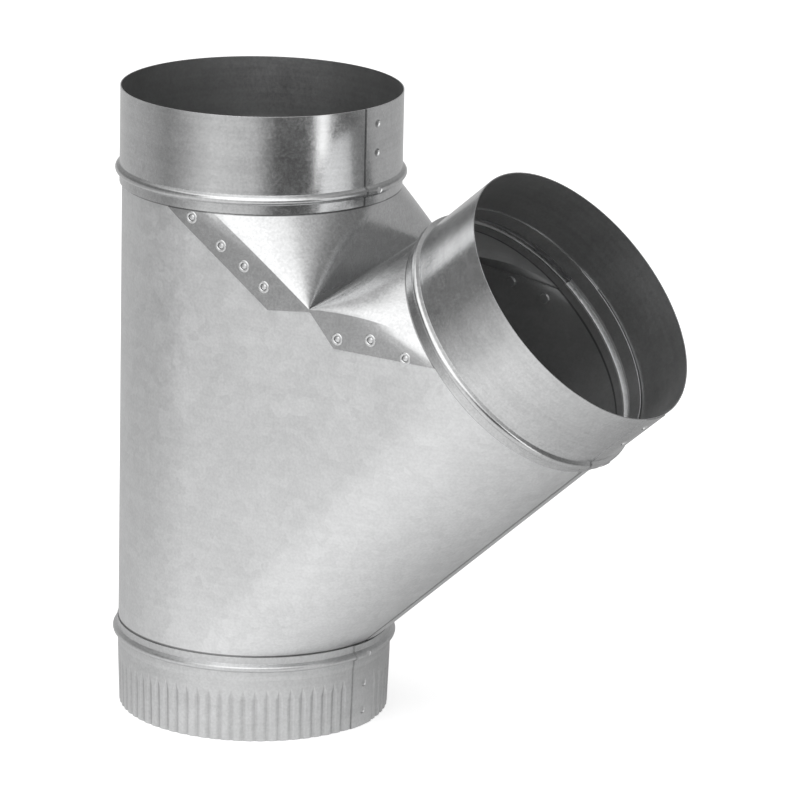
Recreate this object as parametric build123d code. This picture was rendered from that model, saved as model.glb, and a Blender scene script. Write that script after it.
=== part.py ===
from build123d import *
import math
import os

# A galvanised sheet duct Y branch: a straight run with one branch leg on the +X side.
# Lengths are in millimetres, angles in degrees, +Z is up along the straight run.
# The origin is the centre of the crimped rim that the fitting stands on.
# The fitting is symmetric about y = 0, apart from its seams.

# Sheet and fits
sheet = 0.55
lap_gap = 0.10
duct_bore_radius = 76.2

# Overall layout
run_height = 348.7
branch_angle = 48.67
branch_rim_x = 199.2
branch_rim_z = 262.0

# Collars: plain wall, rolled bead, short skirt over the body
collar_length = 52.8
bead_from_rim = 45.3
bead_height = 2.4
bead_crest_radius = 2.2
bead_flank_angle = 58.0
inner_crest_drop = 0.2
body_end_from_rim = 34.5
collar_swell = 0.1
swell_before_body = 0.3
swell_full_from_rim = 40.0

# Crimped bottom collar
bottom_length = 48.5
bottom_bead_from_rim = 42.3
bottom_body_end = 38.7
crimp_count = 72
crimp_depth = 0.8
crimp_half_width = 2.1
crimp_run_out = 0.1
crimp_top = 31.0
crimp_full_below = 24.0
crimp_rim_radius = 74.6
neck_top = 37.5
neck_bottom = 35.0
neck_step = 0.5

# Lap seams of the collars and of the body
seam_start_angle = -12.5
seam_width_angle = 14.0
seam_joint_angle = -5.5
seam_joint_heights = (9.2, 25.0)
seam_joint_radius = 2.3
seam_joint_depth = 0.7
seam_joint_taper = 0.5
heel_lap_front = -6.6
heel_lap_back = 9.0
heel_lap_from_skirts = 0.6
heel_lap_reach = 5.0

# Crotch of the saddle, as it shows on the front flat face
crotch_x = 77.6
crotch_z = 252.1
top_crease_heading = 15.0
top_crease_end = 12.0
branch_crease_heading = 29.0
branch_crease_end = 18.5
top_notch_angle = 6.0
branch_notch_angle = 15.0
notch_tip_drop = 0.15
ridge_cut_size = 6.0

# Flange of the saddle, corners on the flat face from the run side to the branch side
flange_run_x = -11.5
flange_run_z = 294.9
flange_corner_x = 52.1
flange_corner_z = 247.8
flange_tip_drop = 0.4
flange_tip_half_width = 1.2
branch_flange_corner_x = 93.2
branch_flange_corner_z = 233.0
branch_flange_end_angle = 5.0

# Pressed joints between the flanges and the body
run_joints = ((3.9, 291.4), (22.4, 278.5), (36.9, 269.5), (49.4, 260.0))
branch_joints = ((95.2, 238.5), (115.3, 241.0), (136.7, 234.5))
cup_mouth_radius = 2.9
cup_floor_radius = 2.2
cup_depth = 1.5
cup_wall = 0.35
cup_gap = 0.08
joint_sides = 12

# Sizes that follow
collar_outer_radius = duct_bore_radius + sheet
saddle_outer_radius = duct_bore_radius - lap_gap
saddle_inner_radius = saddle_outer_radius - sheet
body_outer_radius = saddle_inner_radius - lap_gap
body_inner_radius = body_outer_radius - sheet
bottom_collar_radius = body_outer_radius + lap_gap
bottom_outer_radius = bottom_collar_radius + sheet
skirt_clearance = 0.3
leg_base_from_rim = collar_length + skirt_clearance
leg_base_z = run_height - leg_base_from_rim
bottom_base_z = bottom_length + skirt_clearance
beyond = 20.0
overshoot = 1.0
quarter_turn = 90.0
full_turn = 360.0
bead_flank = math.radians(bead_flank_angle)
bead_crest_out = bead_crest_radius * math.sin(bead_flank)
bead_flank_rise = bead_height - bead_crest_radius * (1 - math.cos(bead_flank))
bead_foot_out = bead_crest_out + bead_flank_rise / math.tan(bead_flank)

axis_x = math.sin(math.radians(branch_angle))
axis_z = math.cos(math.radians(branch_angle))
up = Vector(0, 0, 1)
across = Vector(1, 0, 0)
depth = Vector(0, 1, 0)
branch_axis = Vector(axis_x, 0, axis_z)
branch_crotch_side = Vector(-axis_z, 0, axis_x)
branch_rim = Vector(branch_rim_x, 0, branch_rim_z)
branch_base = branch_rim - branch_axis * leg_base_from_rim
top_base = Vector(0, 0, leg_base_z)


def frame_at(origin, x_dir, z_dir):
    return Plane(origin=origin, x_dir=x_dir, z_dir=z_dir)


# Local frames of the collars: origin on the rim, z out of the duct, x towards the seam
top_frame = frame_at(Vector(0, 0, run_height), across, up)
branch_frame = frame_at(branch_rim, branch_crotch_side * -1, branch_axis)


def on_circle(centre, crotch_side, radius, angle, side):
    """Point of a leg's circle, angle from the front or back point towards the crotch."""
    turn = math.radians(angle)
    return (
        centre
        + crotch_side * (radius * math.sin(turn))
        + depth * (side * radius * math.cos(turn))
    )


def circle_arc(centre, crotch_side, radius, start, end, side):
    """Arc of a leg's circle between two angles."""
    middle = (start + end) / 2
    return Edge.make_three_point_arc(
        on_circle(centre, crotch_side, radius, start, side),
        on_circle(centre, crotch_side, radius, middle, side),
        on_circle(centre, crotch_side, radius, end, side),
    )


def between(start, end, share):
    return start + (end - start) * share


def fan(apex, base, end_arc, weight):
    """Surface from an apex to an arc, tangent to the base line at the arc's two ends."""
    net = [[apex, apex, apex]]
    for share in (1 / 3, 2 / 3):
        net.append([between(apex, point, share) for point in base])
    net.append(end_arc)
    return Face.make_bezier_surface(net, [[1.0, weight, 1.0] for _ in net])


def leg_faces(centre, crotch_side, radius, apex, heading_angle, end_angle, side):
    """Flat facet and quarter cone between the flat side of the body and the crotch."""
    tangent = on_circle(centre, crotch_side, radius, 0, side)
    crease_end = on_circle(centre, crotch_side, radius, end_angle, side)
    inner = on_circle(centre, crotch_side, radius, quarter_turn, side)
    heading = tangent + crotch_side * (radius * math.sin(math.radians(heading_angle)))

    half_facet = math.radians(end_angle / 2)
    facet_corner = tangent + crotch_side * (radius * math.tan(half_facet))
    facet = fan(
        apex,
        (tangent, between(tangent, heading, 1 / 2), heading),
        [tangent, facet_corner, crease_end],
        math.cos(half_facet),
    )

    half_cone = math.radians((quarter_turn - end_angle) / 2)
    corner_angle = (quarter_turn + end_angle) / 2
    corner_radius = radius / math.cos(half_cone)
    cone_corner = on_circle(centre, crotch_side, corner_radius, corner_angle, side)
    cone = fan(
        apex,
        (heading, cone_corner, inner),
        [crease_end, cone_corner, inner],
        math.cos(half_cone),
    )
    return facet, cone


def duct_volume(radius, crotch):
    """Closed volume of the Y between its three collars, for one sheet surface."""
    bottom = Vector(0, 0, bottom_base_z)
    bottom_left = circle_arc(bottom, across * -1, radius, 0, 90, -1)
    bottom_left_back = circle_arc(bottom, across * -1, radius, 0, 90, 1)
    bottom_right = circle_arc(bottom, across, radius, 0, 90, -1)
    bottom_right_back = circle_arc(bottom, across, radius, 0, 90, 1)
    top_left = circle_arc(top_base, across * -1, radius, 0, 90, -1)
    top_left_back = circle_arc(top_base, across * -1, radius, 0, 90, 1)
    heel_side = branch_crotch_side * -1
    heel = circle_arc(branch_base, heel_side, radius, 0, 90, -1)
    heel_back = circle_arc(branch_base, heel_side, radius, 0, 90, 1)

    faces = [
        Face.make_surface_from_curves(bottom_left, top_left),
        Face.make_surface_from_curves(bottom_left_back, top_left_back),
        Face.make_surface_from_curves(bottom_right, heel),
        Face.make_surface_from_curves(bottom_right_back, heel_back),
    ]
    bottom_edges = [bottom_left, bottom_left_back, bottom_right, bottom_right_back]
    top_edges = [top_left, top_left_back]
    branch_edges = [heel, heel_back]

    legs = (
        (top_base, across, top_crease_heading, top_crease_end, top_edges),
        (branch_base, branch_crotch_side, branch_crease_heading, branch_crease_end, branch_edges),
    )
    for side in (-1, 1):
        apex = Vector(crotch.X, side * radius, crotch.Z)
        flat = Wire.make_polygon([
            Vector(0, side * radius, bottom_base_z),
            Vector(0, side * radius, leg_base_z),
            apex,
            Vector(branch_base.X, side * radius, branch_base.Z),
        ])
        faces.append(Face(flat))
        for centre, crotch_side, heading, end, edges in legs:
            faces.extend(leg_faces(centre, crotch_side, radius, apex, heading, end, side))
            edges.append(circle_arc(centre, crotch_side, radius, 0, end, side))
            edges.append(circle_arc(centre, crotch_side, radius, end, 90, side))

    front_apex = Vector(crotch.X, -radius, crotch.Z)
    back_apex = Vector(crotch.X, radius, crotch.Z)
    for centre, crotch_side in ((top_base, across), (branch_base, branch_crotch_side)):
        inner = on_circle(centre, crotch_side, radius, 90, -1)
        faces.append(Face(Wire.make_polygon([front_apex, back_apex, inner])))
    for edges in (bottom_edges, top_edges, branch_edges):
        faces.append(Face(Wire(edges)))
    return Solid(Shell(faces))


def crotch_at(offset):
    """Crotch line of the surface that lies one offset inside the saddle's outer face."""
    outer = Vector(crotch_x, 0, crotch_z)
    run_top = top_base + across * saddle_outer_radius
    branch_top = branch_base + branch_crotch_side * saddle_outer_radius
    run_wall = (run_top - outer).normalized()
    branch_wall = (branch_top - outer).normalized()
    half = run_wall.get_angle(branch_wall) / 2
    inward = (run_wall + branch_wall).normalized() * -1
    return outer + inward * (offset / math.sin(math.radians(half)))


def sheet_line(radius, start, end, middle, rounded=False):
    """Edges of one sheet surface along the axis, whose bead narrows inwards so that sheets nest."""
    forward = 1 if end > start else -1
    narrowing = (collar_outer_radius - radius) * math.tan(bead_flank / 2)
    foot = bead_foot_out - narrowing
    crest_rise = bead_flank_rise if rounded else bead_height - inner_crest_drop
    crest = foot - crest_rise / math.tan(bead_flank)

    def at(rise, out):
        return Vector(radius + rise, 0, middle + forward * out)

    if rounded:
        top = Edge.make_three_point_arc(
            at(crest_rise, -crest), at(bead_height, 0), at(crest_rise, crest)
        )
    else:
        top = Edge.make_line(at(crest_rise, -crest), at(crest_rise, crest))
    return [
        Edge.make_line(Vector(radius, 0, start), at(0, -foot)),
        Edge.make_line(at(0, -foot), at(crest_rise, -crest)),
        top,
        Edge.make_line(at(crest_rise, crest), at(0, foot)),
        Edge.make_line(at(0, foot), Vector(radius, 0, end)),
    ]


def chain(points):
    """Straight edges through points."""
    return [Edge.make_line(start, end) for start, end in zip(points, points[1:])]


def plain_line(radius, rounded=False):
    """Edges of a plain collar's surface, from the skirt to the rim, in its local frame."""
    swollen = radius + collar_swell
    line = sheet_line(swollen, -collar_length, -swell_full_from_rim, -bead_from_rim, rounded)
    return line + chain([
        Vector(swollen, 0, -swell_full_from_rim),
        Vector(radius, 0, swell_before_body - body_end_from_rim),
        Vector(radius, 0, 0),
    ])


def crimped_radius(height):
    """Outer radius of the crimped end's ridges at a height."""
    neck_radius = bottom_outer_radius - neck_step
    return between(crimp_rim_radius, neck_radius, height / crimp_top)


def crimped_line(radius, rounded=False):
    """Edges of the bottom collar's surface, from the skirt down to the rim."""
    shift = radius - bottom_outer_radius
    line = sheet_line(radius, bottom_length, neck_top, bottom_bead_from_rim, rounded)
    return line + chain([
        Vector(radius, 0, neck_top),
        Vector(radius - neck_step, 0, neck_bottom),
        Vector(crimped_radius(crimp_top) + shift, 0, crimp_top),
        Vector(crimped_radius(0) + shift, 0, 0),
    ])


def wall_section(inner, outer):
    """Section between two surface lines of one sheet."""
    closing = [
        Edge.make_line(inner[0] @ 0, outer[0] @ 0),
        Edge.make_line(inner[-1] @ 1, outer[-1] @ 1),
    ]
    return Face(Wire(inner + outer + closing))


def core(line):
    """Solid of revolution under a surface line."""
    start = line[0] @ 0
    end = line[-1] @ 1
    start_axis = Vector(0, 0, start.Z)
    end_axis = Vector(0, 0, end.Z)
    closing = [
        Edge.make_line(start_axis, start),
        Edge.make_line(end_axis, end),
        Edge.make_line(start_axis, end_axis),
    ]
    return Solid.revolve(Face(Wire(line + closing)), full_turn, Axis.Z)


def turned(profile, start_angle, sweep_angle):
    """The section turned about the axis, from one angle through another."""
    return Solid.revolve(profile.rotate(Axis.Z, start_angle), sweep_angle, Axis.Z)


def slab(points):
    """Prism through the whole depth of the fitting over a polygon of (x, z) points."""
    reach = 2 * collar_outer_radius
    outline = Wire.make_polygon([Vector(x, -reach, z) for x, z in points])
    return Solid.extrude(Face(outline), Vector(0, 2 * reach, 0))


def tapered_plug(first_radius, first_height, last_radius, last_height):
    """Many-sided tapered plug of a pressed joint, along Z between two heights."""
    rings = []
    for radius, height in ((first_radius, first_height), (last_radius, last_height)):
        corner = Vector(radius, 0, height)
        step = full_turn / joint_sides
        corners = [corner.rotate(Axis.Z, index * step) for index in range(joint_sides)]
        rings.append(Wire.make_polygon(corners))
    return Solid.make_loft(rings, ruled=True)


def sunk_cup(grown, start, end, x, z, side):
    """Plug of a pressed joint, sunk from a flange between two depths."""
    taper = (cup_mouth_radius - cup_floor_radius) / cup_depth
    mouth = cup_mouth_radius + grown
    plug = tapered_plug(mouth - taper * start, -start, mouth - taper * end, -end)
    face = Vector(x, side * saddle_outer_radius, z)
    place = Plane(origin=face, x_dir=across, z_dir=depth * side)
    return place.location * plug


def seam_dimple(face_radius, height):
    """Cutter of a pressed joint in a collar's lap seam, at a height on its axis."""
    wide = seam_joint_radius + seam_joint_taper * overshoot / seam_joint_depth
    narrow = seam_joint_radius - seam_joint_taper
    cutter = tapered_plug(narrow, -seam_joint_depth, wide, overshoot)
    place = Plane(origin=Vector(face_radius, 0, height), x_dir=up, z_dir=across)
    return (place.location * cutter).rotate(Axis.Z, seam_joint_angle)


def crimp_cutters(radius_shift):
    """Wedges that press the flutes into one surface of the crimped rim."""
    stations = (
        (-2 * overshoot, crimp_depth),
        (crimp_full_below, crimp_depth),
        (crimp_top, -crimp_run_out),
    )
    rise = crimp_depth + 2 * crimp_run_out
    half = crimp_half_width * rise / crimp_depth
    sections = []
    for height, flute_depth in stations:
        floor = crimped_radius(height) + radius_shift - flute_depth
        sections.append(Wire.make_polygon([
            Vector(floor, 0, height),
            Vector(floor + rise, -half, height),
            Vector(floor + rise, half, height),
        ]))
    wedge = Solid.make_loft(sections, ruled=True)
    pitch = full_turn / crimp_count
    cutters = []
    for index in range(crimp_count):
        angle = (index + 0.5) * pitch
        past_seam = (angle - seam_start_angle) % full_turn
        if past_seam > seam_width_angle:
            cutters.append(wedge.rotate(Axis.Z, angle))
    return cutters


def joined(shape):
    """The one solid of a boolean result."""
    solids = shape.solids()
    return max(solids, key=lambda solid: solid.volume)


def lined_duct(radius, crotch, past_end):
    """Volume of the Y with its beaded ends, which run on past the sheet's edge."""
    end = past_end - body_end_from_rim
    plug = core(sheet_line(radius, -leg_base_from_rim, end, -bead_from_rim))
    bottom_end = bottom_body_end - past_end
    bottom_plug = core(sheet_line(radius, bottom_base_z, bottom_end, bottom_bead_from_rim))
    volume = duct_volume(radius, crotch)
    volume = volume + top_frame.location * plug
    volume = volume + branch_frame.location * plug
    return volume + bottom_plug


def plane_point(point):
    return (point.X, point.Z)


# Sheet shells of the saddle and of the body wrapper
body_offset = sheet + lap_gap
saddle_shell = lined_duct(saddle_outer_radius, crotch_at(0), 0) - lined_duct(
    saddle_inner_radius, crotch_at(sheet), overshoot
)
body_shell = lined_duct(body_outer_radius, crotch_at(body_offset), 0) - lined_duct(
    body_inner_radius, crotch_at(body_offset + sheet), overshoot
)

# Crotch saddle: creased V with flanges, cut out of its shell by its side outline
flange_tip = crotch_at(sheet) - up * flange_tip_drop
branch_flange_end = on_circle(
    branch_base, branch_crotch_side, saddle_outer_radius, branch_flange_end_angle, -1
)
branch_flange_far = branch_flange_end + branch_axis * beyond
saddle_outline = slab([
    (flange_run_x, run_height),
    (flange_run_x, flange_run_z),
    (flange_corner_x, flange_corner_z),
    (flange_tip.X - flange_tip_half_width, flange_tip.Z),
    (flange_tip.X + flange_tip_half_width, flange_tip.Z),
    (branch_flange_corner_x, branch_flange_corner_z),
    plane_point(branch_flange_end),
    plane_point(branch_flange_far),
    (branch_flange_far.X, run_height),
])
crotch_saddle = joined(saddle_shell & saddle_outline)

# Notch of the wrapper under the saddle; the second cut clears its inner crotch ridge
notch_tip = crotch_at(body_offset) - up * notch_tip_drop
top_notch = on_circle(top_base, across, body_outer_radius, top_notch_angle, -1)
branch_notch = on_circle(
    branch_base, branch_crotch_side, body_outer_radius, branch_notch_angle, -1
)
branch_notch_far = branch_notch + branch_axis * beyond
notch_cut = slab([
    plane_point(notch_tip),
    plane_point(top_notch),
    (top_notch.X, run_height),
    (branch_notch_far.X, run_height),
    plane_point(branch_notch_far),
    plane_point(branch_notch),
])
ridge_cut = Solid.make_box(ridge_cut_size, 2 * body_inner_radius, ridge_cut_size)
ridge_corner = Vector(
    notch_tip.X - ridge_cut_size / 2, -body_inner_radius, notch_tip.Z - ridge_cut_size / 2
)
body_wrapper = joined((body_shell - notch_cut) - ridge_cut.translate(ridge_corner))

# Lap seam of the wrapper along the heel, between the two skirts
heel_top = branch_base - branch_crotch_side * body_outer_radius
heel_bottom = Vector(body_outer_radius, 0, bottom_base_z)
lap_start = heel_bottom + branch_axis * heel_lap_from_skirts
lap_end = heel_top - branch_axis * heel_lap_from_skirts
lap_reach = branch_crotch_side * heel_lap_reach
lap_outline = Wire.make_polygon([
    lap_start + lap_reach,
    lap_start - lap_reach,
    lap_end - lap_reach,
    lap_end + lap_reach,
])
lap_block = Solid.extrude(Face(lap_outline), depth * (heel_lap_back - heel_lap_front))
lap_block = lap_block.translate(depth * heel_lap_front)
lap_layer = duct_volume(body_outer_radius + sheet, crotch_at(0)) - duct_volume(
    body_outer_radius - sheet / 2, crotch_at(body_offset + sheet)
)
body_wrapper = joined(body_wrapper + joined(lap_layer & lap_block))

# Pressed joints: nested cups through the flanges and the wrapper, on both sides
saddle_cups = []
saddle_hollows = []
body_hollows = []
body_cups = []
nested = cup_wall + cup_gap
for x, z in run_joints + branch_joints:
    for side in (-1, 1):
        floor = cup_depth + cup_wall
        saddle_cups.append(sunk_cup(cup_wall, sheet / 2, floor, x, z, side))
        saddle_hollows.append(sunk_cup(0, -overshoot, cup_depth, x, z, side))
        body_start = body_offset + sheet / 2
        body_floor = floor + nested
        body_cups.append(sunk_cup(nested + cup_wall, body_start, body_floor, x, z, side))
        body_hollows.append(sunk_cup(nested, -overshoot, floor + cup_gap, x, z, side))
crotch_saddle = joined((crotch_saddle + saddle_cups) - saddle_hollows)
body_wrapper = joined((body_wrapper + body_cups) - body_hollows)

# Plain collar with its lap seam, the same part on the run and on the branch
plain_outer = plain_line(collar_outer_radius, True)
plain_wall = turned(wall_section(plain_line(duct_bore_radius), plain_outer), 0, full_turn)
lap_face = collar_outer_radius + sheet
plain_lap = turned(
    wall_section(plain_line(duct_bore_radius + sheet / 2), plain_line(lap_face, True)),
    seam_start_angle,
    seam_width_angle,
)
plain_dimples = [seam_dimple(lap_face, -height) for height in seam_joint_heights]
plain_dimples.append(seam_dimple(lap_face + collar_swell + bead_height, -bead_from_rim))
plain_collar = joined((plain_wall + plain_lap) - plain_dimples)

# Crimped bottom collar with its lap seam
bottom_outer = core(crimped_line(bottom_outer_radius, True)) - crimp_cutters(0)
bottom_void = core(crimped_line(bottom_collar_radius)) - crimp_cutters(-sheet)
bottom_lap_face = bottom_outer_radius + sheet
bottom_lap = turned(
    wall_section(
        crimped_line(bottom_outer_radius - sheet / 2), crimped_line(bottom_lap_face, True)
    ),
    seam_start_angle,
    seam_width_angle,
)
bottom_dimples = [
    seam_dimple(crimped_radius(height) + sheet, height) for height in seam_joint_heights
]
bottom_dimples.append(seam_dimple(bottom_lap_face + bead_height, bottom_bead_from_rim))
bottom_collar = joined(((bottom_outer - bottom_void) + bottom_lap) - bottom_dimples)

parts = {
    "body_wrapper": body_wrapper,
    "crotch_saddle": crotch_saddle,
    "top_collar": top_frame.location * plain_collar,
    "branch_collar": branch_frame.location * plain_collar,
    "bottom_collar": bottom_collar,
}

os.makedirs("parts", exist_ok=True)
for name, solid in parts.items():
    export_step(solid, f"parts/{name}.step")
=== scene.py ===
import math

import bmesh
import bpy
from mathutils import Matrix, Vector


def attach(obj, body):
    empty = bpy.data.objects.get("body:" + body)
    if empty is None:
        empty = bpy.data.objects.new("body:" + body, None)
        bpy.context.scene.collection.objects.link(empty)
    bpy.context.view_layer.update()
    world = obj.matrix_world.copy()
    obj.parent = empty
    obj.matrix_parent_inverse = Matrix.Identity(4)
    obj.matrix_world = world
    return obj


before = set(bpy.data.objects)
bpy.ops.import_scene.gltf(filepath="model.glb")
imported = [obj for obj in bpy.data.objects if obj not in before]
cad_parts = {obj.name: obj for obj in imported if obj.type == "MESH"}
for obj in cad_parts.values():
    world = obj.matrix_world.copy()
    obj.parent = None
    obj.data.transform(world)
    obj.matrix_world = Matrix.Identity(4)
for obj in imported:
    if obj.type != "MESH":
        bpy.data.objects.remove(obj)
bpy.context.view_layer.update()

# View of the photograph: angles in degrees, lengths in metres
view_azimuth = 30.0
view_elevation = 15.78
view_roll = 1.32
view_distance = 2.8914
view_height = 0.1842
view_shift_right = 0.07793
view_shift_down = 0.01149
view_lens = 237.1

# Axis of the branch collar, tilted from the vertical
branch_tilt = math.radians(48.67)
branch_rim = (0.1992, 0.0, 0.2620)
top_rim = (0.0, 0.0, 0.3487)

# Share of the zinc's surface that mirrors as bare metal; the rest is its pale dull skin.
# Every roughness keeps its whole range on one side of 0.27: across it the denoiser leaves dots.
metal_share = 0.90
# Faces that look into the duct: less metal, rougher, and darkened by painted shade through their
# inside tone
inside_metal_share = 0.82
inside_roughness = 0.35
inside_from = -0.010
inside_full = -0.020

# Lap seams of the collars: angles of the outer edge and of the pressed joints, and joint heights
seam_edge = math.radians(-12.5)
seam_middle = math.radians(-5.5)
plain_joints = (-0.0092, -0.0250)
bottom_joints = (0.0092, 0.0250)
# Painted shade along the lap's edge and in the joints' dents: bounds of the line and radii of the
# dents
lap_radius = 0.0770
seam_line = (0.0003, 0.0006)
dent_radii = (0.0010, 0.0022)

# The saddle's flat flanges, facing Y, get painted shade that makes them darker than its cones: its
# tone, and how squarely they face Y
flange_shade_tone = 0.88
flange_turn = (0.990, 0.998)

# Painted shadow lines in the gaps between the sheets, as bounds in metres: heights, heights along
# the branch, and depth
gap_shadow_tone = 0.40
faint_gap_shadow_tone = 0.75
bottom_gap = (0.0484, 0.0494)
top_gap = (0.2950, 0.2960)
branch_gap = (-0.0537, -0.0527)
heel_gap = (-0.0070, -0.0063)
heel_from = 0.060
bead_groove = (-0.0480, -0.0426)
band_edge = 0.00025

# Crimped rim: ridge radius at the foot and at the crimps' end, their height, and flute depth
ridge_radii = (0.0746, 0.0756)
crimp_end = 0.031
crimp_fade = 0.0300
full_flute = 0.0006
# Painted shade at the bottoms of the flutes: its tone
flute_shade_tone = 0.84

# Grain of the zinc: texture scales, how far each changes the tone or the roughness, and relief
crystal_scale = 190.0
warp_scale = 90.0
warp_reach = 0.010
cloud_scale = 22.0
grain_scale = 700.0
streak_scales = (9.0, 9.0, 420.0)
cloud_tone = 0.03
grain_tone = 0.04
worn_tone = 0.08
rough_change = 0.03
crystal_rough = 0.02
red_share = 0.994
blue_share = 1.004
wear_radius = 0.0002
relief_strength = 0.12
relief_depth = 0.0003
grain_relief = 0.5
cloud_relief = 4.0

# Pressed joints on both flanges: places of their middles, rounded lip and raised middle
flange_face = 0.0761
flange_joints = (
    (0.0039, 0.2914), (0.0224, 0.2785), (0.0369, 0.2695), (0.0494, 0.2600),
    (0.0952, 0.2385), (0.1153, 0.2410), (0.1367, 0.2345),
)
lip_radius = 0.0026
lip_half_width = 0.0008
lip_height = 0.0004
boss_radius = 0.0019
boss_half_height = 0.0009
boss_depth = 0.0007
ring_steps = 32
tube_steps = 12

# Soft boxes: the point they look at, their distance from it and their side
lit_centre = (0.06, 0, 0.18)
box_distance = 1.8
box_side = 1.2

# Light tent around the set: angles from the camera's azimuth, positive to the right, and strengths
tent_radius = 0.88
tent_height = 1.3
tent_brightest = 2.6
tent_wall = (
    (-180, 0.60), (-137, 0.57), (-110, 0.49), (-91, 0.40), (-76, 0.28), (-61, 0.45), (-47, 0.72),
    (-34, 0.86), (-22, 0.80), (-4, 0.68), (5, 0.32), (14, 0.06), (36, 0.06), (42, 0.12),
    (47, 2.0), (52, 2.0), (58, 0.20), (68, 0.10), (84, 0.18), (98, 0.50), (150, 0.50), (180, 0.60),
)
# Tent disk just above the floor near the set, seen only in reflections: painted light and shade of
# the floor, darker to the right where it lies in shadow
tent_floor_light_and_shade = (
    (-180, 0.62), (-140, 0.60), (-120, 0.62), (-100, 0.66), (-80, 0.74), (-60, 0.88), (-40, 1.02),
    (-20, 1.06), (0, 1.02), (20, 0.92), (40, 0.76), (60, 0.62), (80, 0.50), (100, 0.40),
    (120, 0.38), (150, 0.46), (180, 0.62),
)
tent_upper = (
    (-180, 0.40), (-120, 0.18), (-70, 0.14), (-50, 0.24), (-36, 1.7), (0, 2.0), (30, 1.5),
    (46, 0.80), (60, 0.40), (80, 0.20), (130, 0.25), (180, 0.40),
)
tent_high = (
    (-180, 0.50), (-150, 0.60), (-107, 0.75), (-90, 0.90), (-63, 1.6), (-45, 1.9), (25, 1.6),
    (48, 0.80), (68, 0.50), (110, 0.40), (180, 0.50),
)
tent_zenith = 1.5
tent_steps = ((2, 14), (38, 54), (74, 82))
tent_middle = (0, 0, 0.25)
tent_floor_fade = (0.45, 0.85)
tent_lowest = -0.0001
above_floor = 0.001

# Floor and world: how they look, and how strongly the world lights
floor_size = 40
floor_height = -0.0002
floor_tone = 0.82
floor_lift = 0.60
world_light = 0.8


def view_vectors():
    """Unit vectors of the camera: towards the viewer, right and up."""
    azimuth = math.radians(view_azimuth)
    elevation = math.radians(view_elevation)
    roll = math.radians(view_roll)
    level = Vector((math.cos(azimuth), math.sin(azimuth), 0))
    back = Vector((
        math.sin(azimuth) * math.cos(elevation),
        -math.cos(azimuth) * math.cos(elevation),
        math.sin(elevation),
    ))
    upright = back.cross(level)
    right = level * math.cos(roll) + upright * math.sin(roll)
    up = upright * math.cos(roll) - level * math.sin(roll)
    return back, right, up


def make_camera():
    back, right, up = view_vectors()
    target = Vector((0, 0, view_height)) + right * view_shift_right - up * view_shift_down
    data = bpy.data.cameras.new("view_camera")
    data.lens = view_lens
    data.sensor_width = 36
    camera = bpy.data.objects.new("view_camera", data)
    turn = Matrix((right, up, back)).transposed().to_4x4()
    camera.matrix_world = Matrix.Translation(target + back * view_distance) @ turn
    bpy.context.scene.collection.objects.link(camera)
    bpy.context.scene.camera = camera


def around(azimuth, elevation, distance, centre):
    """Point at an angle from the camera's own azimuth, positive to the right."""
    angle = math.radians(view_azimuth + azimuth)
    rise = math.radians(elevation)
    return centre + distance * Vector((
        math.sin(angle) * math.cos(rise),
        -math.cos(angle) * math.cos(rise),
        math.sin(rise),
    ))


def aimed(place, centre):
    """World matrix at a place whose -Z looks at the centre."""
    look = (centre - place).normalized()
    return Matrix.Translation(place) @ look.to_track_quat("-Z", "Y").to_matrix().to_4x4()


def soft_box(name, azimuth, elevation, power):
    centre = Vector(lit_centre)
    data = bpy.data.lights.new(name, "AREA")
    data.shape = "RECTANGLE"
    data.size = box_side
    data.size_y = box_side
    data.energy = power
    lamp = bpy.data.objects.new(name, data)
    lamp.matrix_world = aimed(around(azimuth, elevation, box_distance, centre), centre)
    bpy.context.scene.collection.objects.link(lamp)
    return lamp


class Graph:
    """Short calls for building a material's node tree."""

    def __init__(self, name):
        self.material = bpy.data.materials.new(name)
        self.material.use_nodes = True
        self.tree = self.material.node_tree
        self.tree.nodes.clear()

    def add(self, kind, values=None, settings=None):
        node = self.tree.nodes.new(kind)
        for key, value in (settings or {}).items():
            setattr(node, key, value)
        for key, value in (values or {}).items():
            self.feed(node.inputs[key], value)
        return node

    def feed(self, socket, value):
        if isinstance(value, bpy.types.NodeSocket):
            self.tree.links.new(value, socket)
        else:
            socket.default_value = value

    def math(self, operation, first, second=0.0):
        node = self.add("ShaderNodeMath", {0: first, 1: second}, {"operation": operation})
        return node.outputs[0]

    def spread(self, value, low, high, to_low, to_high):
        node = self.add("ShaderNodeMapRange", {
            "Value": value,
            "From Min": low,
            "From Max": high,
            "To Min": to_low,
            "To Max": to_high,
        })
        return node.outputs["Result"]


def from_rim(graph, coords, rim, tilt):
    """Coordinates with the origin on a collar's rim and Z along its axis."""
    shifted = graph.add(
        "ShaderNodeVectorMath", {0: coords, 1: rim}, {"operation": "SUBTRACT"}
    ).outputs[0]
    return graph.add(
        "ShaderNodeMapping", {"Vector": shifted, "Rotation": (0, -tilt, 0)}
    ).outputs["Vector"]


def length_from(graph, place):
    """Vector away from the local Z axis, and the distance from it."""
    flat = graph.add(
        "ShaderNodeVectorMath", {0: place, 1: (1.0, 1.0, 0.0)}, {"operation": "MULTIPLY"}
    ).outputs[0]
    reach = graph.add(
        "ShaderNodeVectorMath", {0: flat}, {"operation": "LENGTH"}
    ).outputs["Value"]
    return flat, reach


def dot(graph, first, second):
    return graph.add(
        "ShaderNodeVectorMath", {0: first, 1: second}, {"operation": "DOT_PRODUCT"}
    ).outputs["Value"]


def blend(graph, share, first, second):
    kept = graph.math("MULTIPLY", first, graph.math("SUBTRACT", 1.0, share))
    return graph.math("ADD", kept, graph.math("MULTIPLY", second, share))


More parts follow.
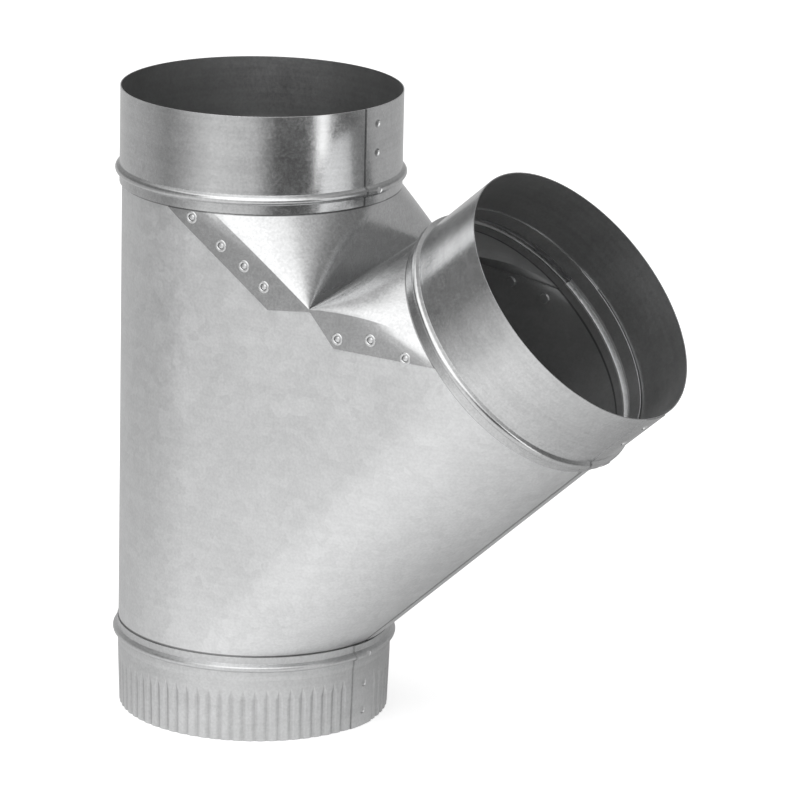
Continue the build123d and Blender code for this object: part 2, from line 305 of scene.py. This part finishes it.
def inside_mask(graph, coords, tilted):
    """1 on the faces that look into the duct, outside the bead's groove, else 0; there the zinc is
    duller and its tone is darkened as painted shade.
    """
    normal = graph.add("ShaderNodeNewGeometry").outputs["Normal"]
    run_out, run_reach = length_from(graph, coords)
    tilted_normal = graph.add(
        "ShaderNodeMapping", {"Vector": normal, "Rotation": (0, -branch_tilt, 0)}
    ).outputs["Vector"]
    branch_out, branch_reach = length_from(graph, tilted)
    run_side = dot(graph, run_out, normal)
    branch_side = dot(graph, branch_out, tilted_normal)
    nearer_run = graph.math("LESS_THAN", run_reach, branch_reach)
    run_part = graph.math("MULTIPLY", run_side, nearer_run)
    branch_part = graph.math("MULTIPLY", branch_side, graph.math("SUBTRACT", 1.0, nearer_run))
    side = graph.math("ADD", run_part, branch_part)
    inner = graph.spread(side, inside_from, inside_full, 0.0, 1.0)
    along = graph.add("ShaderNodeSeparateXYZ", {"Vector": tilted}).outputs["Z"]
    groove = shade_band(graph, along, *bead_groove)
    return graph.math("MULTIPLY", inner, graph.math("SUBTRACT", 1.0, groove))


def seam_shade_marks(graph, local, joint_radius, joint_heights):
    """Painted shade: 1 along a collar's lap edge and in the dents of the pressed joints of its
    lap, else 0.
    """
    parts = graph.add("ShaderNodeSeparateXYZ", {"Vector": local})
    angle = graph.math("ARCTAN2", parts.outputs["Y"], parts.outputs["X"])
    aside = graph.math("ABSOLUTE", graph.math("SUBTRACT", angle, seam_edge))
    arc = graph.math("MULTIPLY", aside, joint_radius)
    shade_marks = graph.spread(arc, *seam_line, 1.0, 0.0)
    for height in joint_heights:
        spot = (joint_radius * math.cos(seam_middle), joint_radius * math.sin(seam_middle), height)
        away = graph.add("ShaderNodeVectorMath", {0: local, 1: spot}, {"operation": "DISTANCE"})
        dent_shade = graph.spread(away.outputs["Value"], *dent_radii, 1.0, 0.0)
        shade_marks = graph.math("MAXIMUM", shade_marks, dent_shade)
    return shade_marks


def shade_band(graph, value, low, high):
    """1 where a value lies between two bounds, with soft edges."""
    rising = graph.spread(value, low - band_edge, low, 0.0, 1.0)
    falling = graph.spread(value, high, high + band_edge, 1.0, 0.0)
    return graph.math("MULTIPLY", rising, falling)


def gap_shadow_lines(graph, coords, tilted):
    """1 on the painted shadow lines in the gaps along the skirts' edges and the heel's lap, else
    0.
    """
    parts = graph.add("ShaderNodeSeparateXYZ", {"Vector": coords})
    branch_parts = graph.add("ShaderNodeSeparateXYZ", {"Vector": tilted})
    bottom = shade_band(graph, parts.outputs["Z"], *bottom_gap)
    top = shade_band(graph, parts.outputs["Z"], *top_gap)
    branch = shade_band(graph, branch_parts.outputs["Z"], *branch_gap)
    heel_side = graph.math("GREATER_THAN", branch_parts.outputs["X"], heel_from)
    heel = shade_band(graph, parts.outputs["Y"], *heel_gap)
    heel = graph.math("MULTIPLY", heel, heel_side)
    lines = graph.math("MAXIMUM", graph.math("MAXIMUM", bottom, top), branch)
    return graph.math("MAXIMUM", lines, heel)


def flute_depth(graph, coords):
    """How deep a point lies below the crimped rim's ridges, 1 at the bottom of a flute."""
    reach = length_from(graph, coords)[1]
    rise = graph.add("ShaderNodeSeparateXYZ", {"Vector": coords}).outputs["Z"]
    ridge = graph.spread(rise, 0.0, crimp_end, *ridge_radii)
    depth = graph.spread(graph.math("SUBTRACT", ridge, reach), 0.0, full_flute, 0.0, 1.0)
    return graph.math("MULTIPLY", depth, graph.spread(rise, crimp_fade, crimp_end, 1.0, 0.0))


def zinc_material(
    name, rim, tilt, tone, inside_shade_tone, roughness, streak_tone, crystal_tone,
    joints=(), shade_mark_tone=gap_shadow_tone, fluted=False, flanged=False,
):
    """Galvanised sheet: zinc crystals, rolling streaks, fine grain, worn edges and painted shade
    in the duct, gaps, seams, flutes and flanges.
    """
    graph = Graph(name)
    coords = graph.add("ShaderNodeTexCoord").outputs["Object"]
    local = from_rim(graph, coords, rim, tilt)
    tilted = from_rim(graph, coords, branch_rim, branch_tilt)

    warp = graph.add("ShaderNodeTexNoise", {"Vector": local, "Scale": warp_scale, "Detail": 3.0})
    offset = graph.add(
        "ShaderNodeVectorMath",
        {0: warp.outputs["Color"], 1: (0.5, 0.5, 0.5)},
        {"operation": "SUBTRACT"},
    ).outputs[0]
    bent = graph.add(
        "ShaderNodeVectorMath", {0: offset, "Scale": warp_reach}, {"operation": "SCALE"}
    ).outputs[0]
    crystal_place = graph.add(
        "ShaderNodeVectorMath", {0: local, 1: bent}, {"operation": "ADD"}
    ).outputs[0]
    crystals = graph.add(
        "ShaderNodeTexVoronoi", {"Vector": crystal_place, "Scale": crystal_scale}
    ).outputs["Color"]
    crystal = graph.add("ShaderNodeSeparateColor", {"Color": crystals}).outputs[0]

    clouds = graph.add(
        "ShaderNodeTexNoise", {"Vector": local, "Scale": cloud_scale, "Detail": 5.0}
    ).outputs["Fac"]
    grain = graph.add(
        "ShaderNodeTexNoise", {"Vector": local, "Scale": grain_scale, "Detail": 2.0}
    ).outputs["Fac"]
    streak_place = graph.add(
        "ShaderNodeVectorMath", {0: local, 1: streak_scales}, {"operation": "MULTIPLY"}
    ).outputs[0]
    streaks = graph.add(
        "ShaderNodeTexNoise", {"Vector": streak_place, "Scale": 1.0, "Detail": 4.0}
    ).outputs["Fac"]
    inside = inside_mask(graph, coords, tilted)

    rounded = graph.add("ShaderNodeBevel", {"Radius": wear_radius}, {"samples": 4}).outputs[0]
    flat = graph.add("ShaderNodeNewGeometry").outputs["Normal"]
    worn = graph.spread(dot(graph, rounded, flat), 0.995, 0.90, 0.0, 1.0)

    shade = graph.spread(crystal, 0.0, 1.0, -crystal_tone, crystal_tone)
    for change in (
        graph.spread(clouds, 0.3, 0.7, -cloud_tone, cloud_tone),
        graph.spread(grain, 0.3, 0.7, -grain_tone, grain_tone),
        graph.spread(streaks, 0.35, 0.65, -streak_tone, streak_tone),
        graph.math("MULTIPLY", worn, worn_tone),
        tone,
    ):
        shade = graph.math("ADD", shade, change)
    # Painted shade: lines along the collars' laps and joints, or shadow lines in the gaps between
    # the sheets
    if joints:
        shade_marks = seam_shade_marks(graph, local, lap_radius, joints)
    else:
        shade_marks = gap_shadow_lines(graph, coords, tilted)
    # Painted shade darkens the tone inside the duct, in the gaps and seams, in the flutes and on
    # the flanges
    masks = [(inside, inside_shade_tone / tone), (shade_marks, shade_mark_tone)]
    # Painted shade in the flutes
    if fluted:
        masks.append((flute_depth(graph, coords), flute_shade_tone))
    # Painted shade on the flanges' faces that look squarely along Y
    if flanged:
        sideways = graph.math("ABSOLUTE", dot(graph, flat, (0.0, 1.0, 0.0)))
        masks.append((graph.spread(sideways, *flange_turn, 0.0, 1.0), flange_shade_tone))
    for mask, share in masks:
        shade = graph.math("MULTIPLY", shade, graph.spread(mask, 0.0, 1.0, 1.0, share))
    colour = graph.add("ShaderNodeCombineColor", {
        "Red": graph.math("MULTIPLY", shade, red_share),
        "Green": shade,
        "Blue": graph.math("MULTIPLY", shade, blue_share),
    }).outputs[0]

    rough = graph.spread(crystal, 0.0, 1.0, roughness - crystal_rough, roughness + crystal_rough)
    rough = blend(graph, inside, rough, inside_roughness)
    for texture in (clouds, grain):
        change = graph.spread(texture, 0.3, 0.7, -rough_change, rough_change)
        rough = graph.math("ADD", rough, change)

    fine = graph.math("MULTIPLY", grain, grain_relief)
    height = graph.math("ADD", fine, graph.math("MULTIPLY", clouds, cloud_relief))
    bump = graph.add("ShaderNodeBump", {
        "Height": height,
        "Strength": relief_strength,
        "Distance": relief_depth,
        "Normal": rounded,
    }).outputs["Normal"]
    shader = graph.add("ShaderNodeBsdfPrincipled", {
        "Base Color": colour,
        "Metallic": graph.spread(inside, 0.0, 1.0, metal_share, inside_metal_share),
        "Roughness": rough,
        "Normal": bump,
    })
    output = graph.add("ShaderNodeOutputMaterial")
    graph.tree.links.new(shader.outputs[0], output.inputs["Surface"])
    return graph.material


def dress(node, material):
    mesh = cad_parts[node].data
    mesh.materials.clear()
    mesh.materials.append(material)


def joint_lip(name, x, z, side):
    """Rounded lip and raised middle of one pressed joint; side is -1 in front, 1 at the back."""
    shapes = bmesh.new()
    rows = []
    for turn in range(ring_steps):
        angle = 2 * math.pi * turn / ring_steps
        row = []
        for part in range(tube_steps):
            swing = 2 * math.pi * part / tube_steps
            reach = lip_radius + lip_half_width * math.cos(swing)
            row.append(shapes.verts.new((
                reach * math.cos(angle), lip_height * math.sin(swing), reach * math.sin(angle)
            )))
        rows.append(row)
    for turn in range(ring_steps):
        for part in range(tube_steps):
            after = (part + 1) % tube_steps
            row = rows[turn]
            following = rows[(turn + 1) % ring_steps]
            shapes.faces.new((row[part], following[part], following[after], row[after]))
    boss = Matrix.Translation((0, -side * boss_depth, 0))
    boss = boss @ Matrix.Diagonal((boss_radius, boss_half_height, boss_radius, 1))
    bmesh.ops.create_uvsphere(shapes, u_segments=24, v_segments=12, radius=1, matrix=boss)
    bmesh.ops.recalc_face_normals(shapes, faces=shapes.faces)
    for face in shapes.faces:
        face.smooth = True
    mesh = bpy.data.meshes.new(name)
    shapes.to_mesh(mesh)
    shapes.free()
    mesh.materials.append(lip_zinc)
    piece = bpy.data.objects.new(name, mesh)
    piece.location = (x, side * flange_face, z)
    bpy.context.scene.collection.objects.link(piece)
    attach(piece, "root")


def ray_kind(graph):
    """1 for camera, glossy and transmission rays, else 0."""
    path = graph.add("ShaderNodeLightPath")
    kind = graph.math("MAXIMUM", path.outputs["Is Camera Ray"], path.outputs["Is Glossy Ray"])
    return graph.math("MAXIMUM", kind, path.outputs["Is Transmission Ray"])


def make_floor():
    bpy.ops.mesh.primitive_plane_add(size=floor_size, location=(0, 0, floor_height))
    floor = bpy.context.object
    floor.name = "studio_floor"
    graph = Graph("floor_paper")
    paper = (floor_tone, floor_tone, floor_tone, 1)
    diffuse = graph.add("ShaderNodeBsdfDiffuse", {"Color": paper})
    lift = graph.math("MULTIPLY", ray_kind(graph), floor_lift)
    glow = graph.add("ShaderNodeEmission", {"Strength": lift})
    total = graph.add("ShaderNodeAddShader")
    graph.tree.links.new(diffuse.outputs[0], total.inputs[0])
    graph.tree.links.new(glow.outputs[0], total.inputs[1])
    output = graph.add("ShaderNodeOutputMaterial")
    graph.tree.links.new(total.outputs[0], output.inputs["Surface"])
    floor.data.materials.append(graph.material)


def tent_ramp(graph, share, strengths):
    ramp = graph.add("ShaderNodeValToRGB", {"Fac": share})
    stops = ramp.color_ramp.elements
    stops.remove(stops[-1])
    for index, (degrees, strength) in enumerate(strengths):
        place = (degrees + 180) / 360
        stop = stops[0] if index == 0 else stops.new(place)
        stop.position = place
        level = strength / tent_brightest
        stop.color = (level, level, level, 1)
    return graph.add("ShaderNodeSeparateColor", {"Color": ramp.outputs["Color"]}).outputs[0]


def make_light_tent():
    """Dome of pale and dark cloth that only the metal's reflections see; its disk on the floor
    paints the floor's light and shade.
    """
    bpy.ops.mesh.primitive_uv_sphere_add(segments=96, ring_count=48, radius=1)
    tent = bpy.context.object
    tent.name = "light_tent"
    for corner in tent.data.vertices:
        corner.co.x *= tent_radius
        corner.co.y *= tent_radius
        corner.co.z = max(corner.co.z * tent_height, tent_lowest)
    graph = Graph("tent_cloth")
    place = graph.add("ShaderNodeNewGeometry").outputs["Position"]
    raised = graph.add(
        "ShaderNodeVectorMath", {0: place, 1: tent_middle}, {"operation": "SUBTRACT"}
    ).outputs[0]
    turned = graph.add("ShaderNodeMapping", {
        "Vector": raised,
        "Rotation": (0, 0, -math.radians(view_azimuth)),
    }).outputs["Vector"]
    parts = graph.add("ShaderNodeSeparateXYZ", {"Vector": turned})
    towards_camera = graph.math("MULTIPLY", parts.outputs["Y"], -1.0)
    angle = graph.math("ARCTAN2", parts.outputs["X"], towards_camera)
    share = graph.spread(angle, -math.pi, math.pi, 0.0, 1.0)
    reach = graph.add(
        "ShaderNodeVectorMath", {0: turned}, {"operation": "LENGTH"}
    ).outputs["Value"]
    rise = graph.math("DIVIDE", parts.outputs["Z"], reach)
    level = tent_ramp(graph, share, tent_wall)
    upper = tent_ramp(graph, share, tent_upper)
    high = tent_ramp(graph, share, tent_high)
    for bounds, band in zip(tent_steps, (upper, high, tent_zenith / tent_brightest)):
        start, end = (math.sin(math.radians(degrees)) for degrees in bounds)
        level = blend(graph, graph.spread(rise, start, end, 0.0, 1.0), level, band)
    # Disk near the floor: painted light and shade of the floor as the metal reflects it
    floor_light_and_shade = tent_ramp(graph, share, tent_floor_light_and_shade)
    flat_reach = length_from(graph, turned)[1]
    near = graph.spread(flat_reach, *tent_floor_fade, 1.0, 0.0)
    height = graph.add("ShaderNodeSeparateXYZ", {"Vector": place}).outputs["Z"]
    on_floor = graph.math("LESS_THAN", height, above_floor)
    level = blend(graph, graph.math("MULTIPLY", near, on_floor), level, floor_light_and_shade)
    shader = graph.add("ShaderNodeEmission", {
        "Strength": graph.math("MULTIPLY", level, tent_brightest),
    })
    output = graph.add("ShaderNodeOutputMaterial")
    graph.tree.links.new(shader.outputs[0], output.inputs["Surface"])
    graph.material.cycles.emission_sampling = "NONE"
    tent.data.materials.append(graph.material)
    tent.visible_camera = False
    tent.visible_diffuse = False
    tent.visible_shadow = False
    tent.visible_transmission = False


def make_world():
    """White where the camera or a mirror looks, and a little less as light on dull faces."""
    world = bpy.data.worlds.new("studio_world")
    bpy.context.scene.world = world
    world.use_nodes = True
    tree = world.node_tree
    tree.nodes.clear()
    path = tree.nodes.new("ShaderNodeLightPath")
    strength = path.outputs["Is Camera Ray"]
    for ray in ("Is Glossy Ray", "Is Transmission Ray"):
        widest = tree.nodes.new("ShaderNodeMath")
        widest.operation = "MAXIMUM"
        tree.links.new(path.outputs[ray], widest.inputs[0])
        tree.links.new(strength, widest.inputs[1])
        strength = widest.outputs[0]
    level = tree.nodes.new("ShaderNodeMapRange")
    level.inputs["To Min"].default_value = world_light
    level.inputs["To Max"].default_value = 1.0
    tree.links.new(strength, level.inputs["Value"])
    background = tree.nodes.new("ShaderNodeBackground")
    tree.links.new(level.outputs["Result"], background.inputs["Strength"])
    output = tree.nodes.new("ShaderNodeOutputWorld")
    tree.links.new(background.outputs[0], output.inputs["Surface"])


bpy.context.scene.view_settings.view_transform = "Standard"
make_camera()
make_world()
make_floor()
make_light_tent()
soft_box("key_box", azimuth=-40, elevation=40, power=8)
soft_box("top_box", azimuth=10, elevation=75, power=5)

# Each inside tone below is painted shade: it darkens the faces that look into the duct
foot = (0, 0, 0)
lip_zinc = zinc_material(
    "zinc_lip", foot, 0,
    tone=0.70, inside_shade_tone=0.70, roughness=0.36, streak_tone=0.01, crystal_tone=0.01,
)
dress("body_wrapper", zinc_material(
    "zinc_body", foot, 0,
    tone=0.72, inside_shade_tone=0.43, roughness=0.42, streak_tone=0.01, crystal_tone=0.026,
))
dress("crotch_saddle", zinc_material(
    "zinc_saddle", foot, 0,
    tone=0.56, inside_shade_tone=0.42, roughness=0.19, streak_tone=0.01, crystal_tone=0.015,
    flanged=True,
))
dress("top_collar", zinc_material(
    "zinc_top", top_rim, 0,
    tone=0.60, inside_shade_tone=0.31, roughness=0.19, streak_tone=0.02, crystal_tone=0.02,
    joints=plain_joints,
))
dress("branch_collar", zinc_material(
    "zinc_branch", branch_rim, branch_tilt,
    tone=0.60, inside_shade_tone=0.37, roughness=0.19, streak_tone=0.02, crystal_tone=0.02,
    joints=plain_joints, shade_mark_tone=faint_gap_shadow_tone,
))
dress("bottom_collar", zinc_material(
    "zinc_bottom", foot, 0,
    tone=0.60, inside_shade_tone=0.52, roughness=0.36, streak_tone=0.01, crystal_tone=0.02,
    joints=bottom_joints, shade_mark_tone=faint_gap_shadow_tone, fluted=True,
))
for index, (x, z) in enumerate(flange_joints):
    joint_lip("front_joint_lip_%d" % (index + 1), x, z, -1)
    joint_lip("back_joint_lip_%d" % (index + 1), x, z, 1)
